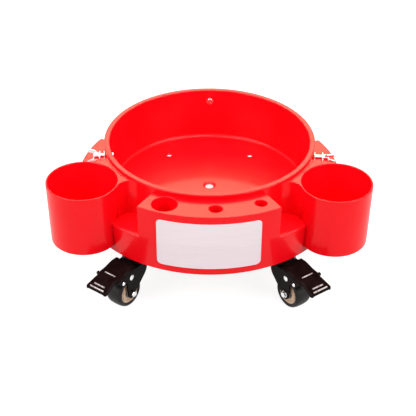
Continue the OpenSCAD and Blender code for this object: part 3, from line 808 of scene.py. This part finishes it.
def make_race():
    """Upper race: a pressed cup with a rolled lip and a groove for the balls."""
    shoulder, lip_t, edge, ceiling = 2, 1.5, 0.5, RACE_Z - 3
    foot = RACE_Z - RACE_H
    profile = [(KINGPIN_BORE, ceiling), (KINGPIN_BORE, RACE_Z), (RACE_R - shoulder, RACE_Z)]
    profile += arc(RACE_R - shoulder, RACE_Z - shoulder, shoulder, 90, 0, 5)
    profile += [(RACE_R, foot + edge), (RACE_R - edge, foot), (RACE_R - lip_t, foot),
                (RACE_R - lip_t, ceiling)]
    profile += arc(BALL_RING, BALL_Z, BALL_R + RUN_GAP, 75, 105, 3)
    return lathe(profile, 72)


def make_king_pin():
    """Pin from the plate's top to a riveted head under the crown, with a hollow in it."""
    seat, head_r, edge = CROWN_Z - FORK_T - 0.3, KINGPIN_R + 3, 0.4
    return lathe([(0, 0), (KINGPIN_R - edge, 0), (KINGPIN_R, -edge), (KINGPIN_R, seat),
                  (head_r - 0.6, seat), (head_r, seat - 0.6), (head_r, seat - 1.7),
                  (head_r - 1.1, seat - 3), (2.5, seat - 3), (2.2, seat - 2.3),
                  (0, seat - 2.3)], 48)


def leg_side():
    """Side outline of crown and leg together, in X and Z."""
    boss_r = 8.5
    back = [(-17, CROWN_Z), (LEG_END, CROWN_Z), (LEG_END, CROWN_Z - 12),
            (LEG_END - 0.5, AXLE_Z + 12), (TRAIL + boss_r, AXLE_Z)]
    boss = arc(TRAIL, AXLE_Z, boss_r, 0, -180, 24)[1:]
    # Straight up from the boss, then bent up to the crown.
    front = [(18.4, -51.6), (15.2, -48.7), (11.5, -45.3), (7.0, -41.1), (2.0, -36.3),
             (-2.6, -31.7), (-6.6, -27.6), (-10, -23.8), (-12.6, -20.2), (-14.6, -16.8),
             (-16, -14.8), (-17, CROWN_Z - FORK_T)]
    return back + boss + front


def u_section(half_out, top, wall, outer_round, bottom):
    """An upside-down U in Y and Z with round shoulders."""
    inner = max(0.6, outer_round - wall)
    half_in = half_out - wall
    points = [(half_out, bottom)]
    points += arc(half_out - outer_round, top - outer_round, outer_round, 0, 90, 6)
    points += arc(outer_round - half_out, top - outer_round, outer_round, 90, 180, 6)
    points += [(-half_out, bottom), (-half_in, bottom)]
    points += arc(inner - half_in, top - wall - inner, inner, 180, 90, 4)
    points += arc(half_in - inner, top - wall - inner, inner, 90, 0, 4)
    points += [(half_in, bottom)]
    return points


def crown_plan():
    """Plan of the crown: round over the race, square with small corners over the wheel."""
    corner, half = 0.8, LEG_OUT + 0.5
    inset = half - 0.7
    return ([(LEG_END - corner, -half), (LEG_END, -inset), (LEG_END, inset),
             (LEG_END - corner, half)] + arc(0, 0, LEG_OUT + 0.01, 90, 270, 28))


def lower_race():
    """The fork's half of the ball race, up inside the upper half's rim."""
    edge, groove = 1.4, BALL_Z - 0.6
    profile = [(KINGPIN_BORE, CROWN_Z + 0.02), (RACE_R + 0.4, CROWN_Z + 0.02)]
    profile += arc(RACE_R + 1 - edge, FORK_TOP - edge, edge, 0, 90, 4)
    profile += [(RACE_R - 2, FORK_TOP), (RACE_R - 2, groove), (RACE_R - 4, groove - 0.8),
                (RACE_R - 6, groove), (KINGPIN_R + 3, groove), (KINGPIN_R + 3, FORK_TOP),
                (KINGPIN_BORE, FORK_TOP)]
    return lathe(profile, 72)


def make_fork():
    """Crown and legs, cut from one bent channel, with the lower race on top."""
    section = u_section(LEG_OUT, CROWN_Z, FORK_T, 3.0, -70)
    fork = move(prism(section, -LEG_OUT, LEG_END), ALONG_X)
    combine(fork, move(prism(leg_side(), -LEG_OUT - 4, LEG_OUT + 4), UPRIGHT), "INTERSECT")
    combine(fork, prism(crown_plan(), -80, 0), "INTERSECT")
    round_edges(fork, 0.45, 2, 45)
    return join(fork, lower_race())


def hex_nut(across, low, high, dome):
    """A hexagonal head or nut with its outer corners turned off."""
    nut = rod(across, low, high, 6)
    cone = lathe([(0, low - 1), (across - dome * 0.3, low - 1), (across + 0.1, low + 0.2),
                  (across + 0.1, high - 0.5), (across - dome, high + 0.2), (0, high + 0.2)], 48)
    combine(nut, cone, "INTERSECT")
    return round_edges(nut, 0.15, 1, 40)


def make_axle():
    """Bolt along Y with its head at -Y, a nylon-topped nut at +Y, and two spacer bushes."""
    reach, edge, nut_h = LEG_OUT + 3.5, 0.6, 3.4
    inner = AXLE_R - edge
    bolt = lathe([(0, -reach - edge), (inner, -reach - edge), (AXLE_R, -reach),
                  (AXLE_R, reach - edge), (inner, reach), (0, reach)], 32)
    head = hex_nut(NUT_R, LEG_OUT, LEG_OUT + 3.6, 0.7)
    washer = lathe([(AXLE_R, LEG_OUT), (5.6, LEG_OUT), (5.6, LEG_OUT + 0.5),
                    (AXLE_R, LEG_OUT + 0.6)], 40)
    nut = hex_nut(NUT_R, -LEG_OUT - nut_h, -LEG_OUT, 0.2)
    collar_low, collar_high = -LEG_OUT - nut_h - 1.2, -LEG_OUT - nut_h + 0.2
    collar = lathe([(AXLE_R, collar_low), (3.9, collar_low), (4.6, collar_low + 0.6),
                    (4.7, collar_high), (AXLE_R, collar_high)], 40)
    bush_r, bush_in = 4.6, HALF_W - 2 + PASS_GAP / 2
    bushes = [lathe([(AXLE_R, s * bush_in), (bush_r, s * bush_in), (bush_r, s * LEG_IN),
                     (AXLE_R, s * LEG_IN)], 32) for s in (-1, 1)]
    return move(join(bolt, head, washer, nut, collar, *bushes), UPRIGHT)


def both_sides(half, *middle):
    """A profile drawn for one side of a wheel, its middle, and the other side as a mirror."""
    return half + list(middle) + [(r, -z) for r, z in reversed(half)]


def make_tyre():
    """Crowned tread with round shoulders."""
    shoulder = [(RIM_R, 12.3), (RIM_R + 0.5, 12.6), (20.6, 13.6), (21.4, HALF_W), (22.2, 13.8),
                (23.2, 13.0), (23.9, 12.0), (24.5, 10.4), (24.95, 8.0), (25.25, 4.5)]
    return move(lathe(both_sides(shoulder, (WHEEL_R, 0)), 96), UPRIGHT)


def make_hub():
    """Hub with two raised rings round a groove, stepped down to the bearing."""
    seat, inner, inner_z = BEARING_R + 0.02, BEARING_R - 2, HALF_W - 8
    web, ring, groove = 11.0, HALF_W - 1.5, 11.2
    half = [(inner, inner_z), (seat, inner_z), (seat, 11.8), (10.2, 12.0), (10.5, groove),
            (12.4, web), (13.0, 11.3), (13.6, 12.2), (13.9, ring), (14.7, ring), (14.9, groove),
            (15.7, groove), (15.9, ring), (16.9, ring), (17.1, 11.8), (17.6, 11.8),
            (RIM_R, 12.1)]
    return move(lathe(both_sides(half), 96), UPRIGHT)


def make_bearings():
    """Two bearings, each with a shield sunk between its rings."""
    bore, low, face, shield = AXLE_R + RUN_GAP, 6.1, 12, 11.6
    half = [(bore, low), (BEARING_R, low), (BEARING_R, face - 0.3), (BEARING_R - 0.3, face),
            (8.2, face), (7.9, shield), (5.4, shield), (5.1, face), (3.3, face),
            (bore, face - 0.3)]
    pair = [lathe([(r, s * z) for r, z in half], 60) for s in (-1, 1)]
    return move(join(*pair), UPRIGHT)


def along(points, x):
    """Height at x on a line through points, level past its ends."""
    x = max(x, points[0][0])
    for (x0, z0), (x1, z1) in zip(points, points[1:]):
        if x <= x1:
            return z0 + (z1 - z0) * (x - x0) / (x1 - x0)
    return points[-1][1]


def pedal_z(x):
    """Height of the pedal's top sheet, its bends softened."""
    near = (-2, -1, 0, 1, 2)
    return sum(along(PEDAL_TOP, x + d) for d in near) / len(near)


PEDAL_CORNER, PEDAL_STEP_X = 3.5, CHEEK_END + 4


def pedal_half_width(x):
    """Half of the pedal's width: over the cheeks, a quick step in, then wider to a round tip."""
    step, blade_half, flare = 3.0, 17.4, 2.6
    if x <= CHEEK_END:
        return CHEEK_OUT
    if x <= PEDAL_STEP_X:
        return CHEEK_OUT - step * (x - CHEEK_END) / (PEDAL_STEP_X - CHEEK_END)
    w = blade_half + flare * (x - PEDAL_STEP_X) / (PEDAL_REACH - PEDAL_STEP_X)
    past = x - PEDAL_REACH + PEDAL_CORNER
    if past > 0:
        w -= PEDAL_CORNER - math.sqrt(max(0.0, PEDAL_CORNER ** 2 - past ** 2))
    return w


def make_pedal():
    """Bent sheet with two cheeks outside the fork, a turned-down lip, and the brake shoe."""
    low = BRAKE_PIN[1] - 6
    start, end = PEDAL_TOP[0][0], CHEEK_END - 0.1
    cheek = [(start, low + 11), (BRAKE_PIN[0] - 4, low + 1), (BRAKE_PIN[0] + 4, low),
             (TRAIL + 24, low), (end, pedal_z(CHEEK_END) - 6)]
    blade_side = 4.2
    # Sections stand closer together at the step and round the tip's corners.
    stations = [start, 23.2, 25, 28, 30, 32, 34, 37, 40, 43, 46, 48, 50, 53, 56, 59, 61, end,
                CHEEK_END, 64.2, 65.6, PEDAL_STEP_X, 69, 72, 75, 78, 81, 83.5, 85.5, 87, 88,
                88.8, 89.4, 89.8, 90.1, PEDAL_REACH]
    rings = []
    for x in stations:
        top = pedal_z(x)
        if x < CHEEK_END:
            bottom, shoulder = along(cheek, x), blade_side
        else:
            bottom, shoulder = top - blade_side, max(2.0, 4.0 - 0.3 * (x - CHEEK_END))
        section = u_section(pedal_half_width(x), top, PEDAL_T, shoulder, bottom)
        rings.append([(x, y, z) for y, z in section])
    pedal = round_edges(loft(rings), 0.4, 2, 50)
    tip, tip_z, lip_half, lip_w = PEDAL_REACH, pedal_z(PEDAL_REACH), 16.3, 2.4
    lip = prism([(tip - lip_w, tip_z - 0.8), (tip, tip_z - 0.5), (tip, tip_z - 3.1),
                 (tip - 1, tip_z - 3.4), (tip - lip_w, tip_z - 3.0)], -lip_half, lip_half)
    shoe_half = HALF_W - 1.5
    shoe = prism([(SHOE_X, -29.0), (SHOE_X + 1.2, -29.8), (SHOE_X + 5.4, -28.4),
                  (SHOE_X + 6, -26.6), (SHOE_X + 6, -11.6), (SHOE_X, -10.6)],
                 -shoe_half, shoe_half)
    return join(pedal, move(lip, UPRIGHT), round_edges(move(shoe, UPRIGHT), 0.7, 2, 40))


def make_grip_ribs():
    """The three ribs across a pedal."""
    ribs = []
    for x, half, rise in ((CHEEK_END - 6, 10, 1.3), (PEDAL_TIP - 9.5, 10, 1.5),
                          (PEDAL_TIP - 3.5, 13, 1.5)):
        z, crest, foot = pedal_z(x), 0.8, 1.3
        rib = [(x - foot, z - 0.8)] + arc(x, z + rise - crest, crest, 160, 20, 5)
        rib += [(x + foot, z - 1.2)]
        ribs.append(round_edges(move(prism(rib, -half, half), UPRIGHT), 0.3, 2, 50))
    return join(*ribs)


def make_pedal_lugs():
    """A small lug on each side of a pedal, where the cheeks end."""
    z, back, front, half = pedal_z(CHEEK_END), CHEEK_END - 4.2, CHEEK_END + 0.2, 1.1
    outline = [(back, z - 5.2), (front, z - 5.2), (front, z - 0.9), (back, z - 0.8)]
    lugs = []
    for s in (-1, 1):
        lug = move(prism(outline, -half, half), shifted(0, s * (CHEEK_OUT + 0.5), 0) @ UPRIGHT)
        lugs.append(round_edges(lug, 0.5, 2, 40))
    return join(*lugs)


def make_shoe_rivets():
    """Domed rivet heads on both cheeks of a pedal."""
    rivet_r, side, dome_r = 3, 0.5, 3.66
    heads = []
    for s in (-1, 1):
        head = lathe([(0, -1), (rivet_r, -1), (rivet_r, side)]
                     + arc(0, -1.6, dome_r, 35, 90, 6)[1:], 32)
        place = shifted(SHOE_X + 8, s * CHEEK_OUT, BRAKE_PIN[1] - 1) @ turned(-90 * s, "X")
        heads.append(move(head, place))
    return join(*heads)


def make_brake_pin():
    """Hinge pin along Y with a domed head outside each cheek."""
    reach, head_r, side, dome_r = CHEEK_OUT + 0.2, BRAKE_PIN_R + 1.8, 0.5, 7.1
    parts = [rod(BRAKE_PIN_R, -reach, reach, 32)]
    for s, facing in ((-1, 180), (1, 0)):
        head = lathe([(0, 0), (head_r, 0), (head_r, side)]
                     + arc(0, -5.3, dome_r, 54, 90, 7)[1:], 40)
        parts.append(move(head, shifted(0, 0, s * (CHEEK_OUT + 0.3)) @ turned(facing, "X")))
    return move(join(*parts), UPRIGHT)


def make_plate_screw():
    """Pan head with a cross recess, and its shank."""
    head_r, shank_r, top, dome_r = 3.8, 2, -PLATE_T, 4.9
    head = lathe([(0, top), (head_r - 0.1, top), (head_r, top - 0.4)]
                 + arc(0, 1.0, dome_r, -50, -90, 7)[1:], 32)
    cut(head, *[move(prism(rectangle(-2.1, 2.1, 0.35), -5, -3.3), turned(a)) for a in (45, 135)])
    shank = lathe([(0, top - 0.1), (shank_r, top - 0.1), (shank_r, 6.5), (0.6, 7.5), (0, 7.5)], 20)
    return join(head, shank)


def dress_caster(index, label, az, turn):
    """Builds the pieces of one caster; only the front ones have a brake."""
    fixed = turned(az) @ shifted(SWIVEL_R, 0, BASE_Z)
    swung = fixed @ turned(turn)
    wheel_at = swung @ shifted(TRAIL, 0, AXLE_Z)
    hinge_at = swung @ shifted(BRAKE_PIN[0], 0, BRAKE_PIN[1])
    fork, wheel, brake = f"fork_{label}", f"wheel_{label}", f"brake_{label}"
    for kind, make, body, slot, node, at in (
            ("top_plate", make_plate, "root", "black_steel", "plate", fixed),
            ("upper_race", make_race, "root", "black_steel", "race", fixed),
            ("pivot_pin", make_king_pin, "root", "bright_steel", "king_pin", fixed),
            ("fork_shell", make_fork, fork, "black_steel", "fork", swung),
            ("axle_bolt", make_axle, fork, "bright_steel", "axle", wheel_at),
            ("tread", make_tyre, wheel, "black_tread", "tyre", wheel_at),
            ("hub_ring", make_hub, wheel, "bronze_hub", "hub", wheel_at),
            ("bearing_pair", make_bearings, wheel, "bearing_steel", "bearings",
             wheel_at)):
        repeated(kind, label, make, body, slot, f"{node}_{label}", at)
    hole_x, hole_y = PLATE_X / 2 - 5.5, PLATE_Y / 2 - 6
    for k, (sx, sy) in enumerate(((-1, -1), (-1, 1), (1, -1), (1, 1))):
        slot_turn = 20 + 37 * (4 * index + k)       # no two screws stop at the same angle
        spot = fixed @ shifted(sx * hole_x, sy * hole_y, 0) @ turned(slot_turn)
        repeated("screw", f"{k}_{label}", make_plate_screw, "root", "bright_steel",
                 "caster_screws", spot)
    if not label.startswith("front"):
        return
    for kind, make, body, slot, node, at, *finish in (
            ("pedal", make_pedal, brake, "black_steel", "brake_pedal", swung),
            ("pedal_lugs", make_pedal_lugs, brake, "black_steel", "brake_pedal", swung),
            # The ribs take the grey finish that paints a highlight on them.
            ("grip_ribs", make_grip_ribs, brake, "black_steel", "brake_pedal", swung,
             "worn_steel"),
            ("shoe_rivets", make_shoe_rivets, brake, "bright_steel", "brake_pedal", swung),
            ("pedal_pin", make_brake_pin, fork, "bright_steel", "brake_pin", hinge_at)):
        repeated(kind, label, make, body, slot, f"{node}_{label}", at, *finish)


for index, (label, az, turn) in enumerate(CASTERS):
    dress_caster(index, label, az, turn)

# CAD nodes whose shape is right keep it and take a finish here.
for node, slot in (("caster_mounts", "red_plastic"), ("swivel_balls", "bright_steel")):
    CAD_NODES[node].data.materials.clear()
    CAD_NODES[node].data.materials.append(FINISH[slot])

# ---------------------------------------- camera, light and floor

CAMERA_AT, LENS, SENSOR = (0, -1.5939, 1.0263), 102.93, 36.0    # metres, millimetres
PITCH, YAW, ROLL = 0.5914, -0.0012, 0.006                       # radians
FLOOR_Z, FLOOR_HALF = (BASE_Z + AXLE_Z - WHEEL_R) * MM, 6.0
# Level of the light from all round, and the level at which the backdrop is seen.
FILL, WHITE = 0.40, 1.0
LAMPS = [                           # name, place in metres, size, watts, colour
    ("top_softbox", (0.0, 0.2, 2.2), (1.6, 1.2), 40, (1.0, 0.90, 0.80)),
    ("back_softbox", (0.0, 2.3, 2.1), (2.6, 1.8), 76, (1.0, 0.83, 0.48)),
    ("key_lamp", (0.35, -0.9, 2.1), (0.2, 0.2), 7, (1, 1, 1)),
    ("left_softbox", (-1.9, -1.3, 1.3), (1.8, 1.8), 50, (1, 1, 1)),
    ("right_softbox", (1.9, -1.3, 1.3), (1.8, 1.8), 50, (1, 1, 1)),
]


def make_camera():
    data = bpy.data.cameras.new("camera")
    data.lens, data.sensor_width = LENS, SENSOR
    camera = linked("camera", data)
    ahead = Vector((math.sin(YAW) * math.cos(PITCH), math.cos(YAW) * math.cos(PITCH),
                    -math.sin(PITCH)))
    level = Vector((math.cos(YAW), -math.sin(YAW), 0))
    upward = level.cross(ahead)
    right = level * math.cos(ROLL) + upward * math.sin(ROLL)
    up = upward * math.cos(ROLL) - level * math.sin(ROLL)
    axes = Matrix((right, up, -ahead)).transposed().to_4x4()
    camera.matrix_world = Matrix.Translation(CAMERA_AT) @ axes
    bpy.context.scene.camera = camera


def seen_directly(tree):
    """1 for camera, glossy and transmission rays, 0 for the light that falls on things."""
    path = tree.nodes.new("ShaderNodeLightPath")
    seen = path.outputs["Is Camera Ray"]
    for kind in ("Is Glossy Ray", "Is Transmission Ray"):
        either = tree.nodes.new("ShaderNodeMath")
        either.operation = "MAXIMUM"
        tree.links.new(seen, either.inputs[0])
        tree.links.new(path.outputs[kind], either.inputs[1])
        seen = either.outputs[0]
    return seen


def make_floor():
    """A pale floor that keeps the shadow and is lifted towards white where it is seen."""
    grey, lift, half = 0.25, 0.86, FLOOR_HALF
    mesh = bpy.data.meshes.new("floor")
    mesh.from_pydata([(x, y, FLOOR_Z) for x, y in rectangle(-half, half, half)], [],
                     [(0, 1, 2, 3)])
    material = bpy.data.materials.new("floor_paper")
    material.use_nodes = True
    tree = material.node_tree
    shader = tree.nodes["Principled BSDF"]
    for socket, value in (("Base Color", (grey, grey, grey, 1)), ("Roughness", 0.9),
                          ("Specular IOR Level", 0.0), ("Emission Color", (1, 1, 1, 1))):
        shader.inputs[socket].default_value = value
    glow = tree.nodes.new("ShaderNodeMath")
    glow.operation = "MULTIPLY"
    glow.inputs[1].default_value = lift
    tree.links.new(seen_directly(tree), glow.inputs[0])
    tree.links.new(glow.outputs[0], shader.inputs["Emission Strength"])
    mesh.materials.append(material)
    linked("floor", mesh)


def make_world():
    world = bpy.data.worlds.new("studio")
    bpy.context.scene.world = world
    world.use_nodes = True
    tree = world.node_tree
    background = tree.nodes["Background"]
    background.inputs["Color"].default_value = (1, 1, 1, 1)
    strength = tree.nodes.new("ShaderNodeMapRange")
    strength.inputs["To Min"].default_value = FILL
    strength.inputs["To Max"].default_value = WHITE
    tree.links.new(seen_directly(tree), strength.inputs["Value"])
    tree.links.new(strength.outputs["Result"], background.inputs["Strength"])


def add_lamp(name, place, size, watts, colour):
    """A rectangular lamp that faces the origin."""
    data = bpy.data.lights.new(name, "AREA")
    data.shape = "RECTANGLE"
    data.size, data.size_y = size
    data.energy, data.color = watts, colour
    facing = (-Vector(place)).to_track_quat("-Z", "Y").to_matrix().to_4x4()
    linked(name, data).matrix_world = Matrix.Translation(place) @ facing


make_camera()
make_floor()
make_world()
for lamp in LAMPS:
    add_lamp(*lamp)

bpy.context.scene.view_settings.view_transform = "Standard"
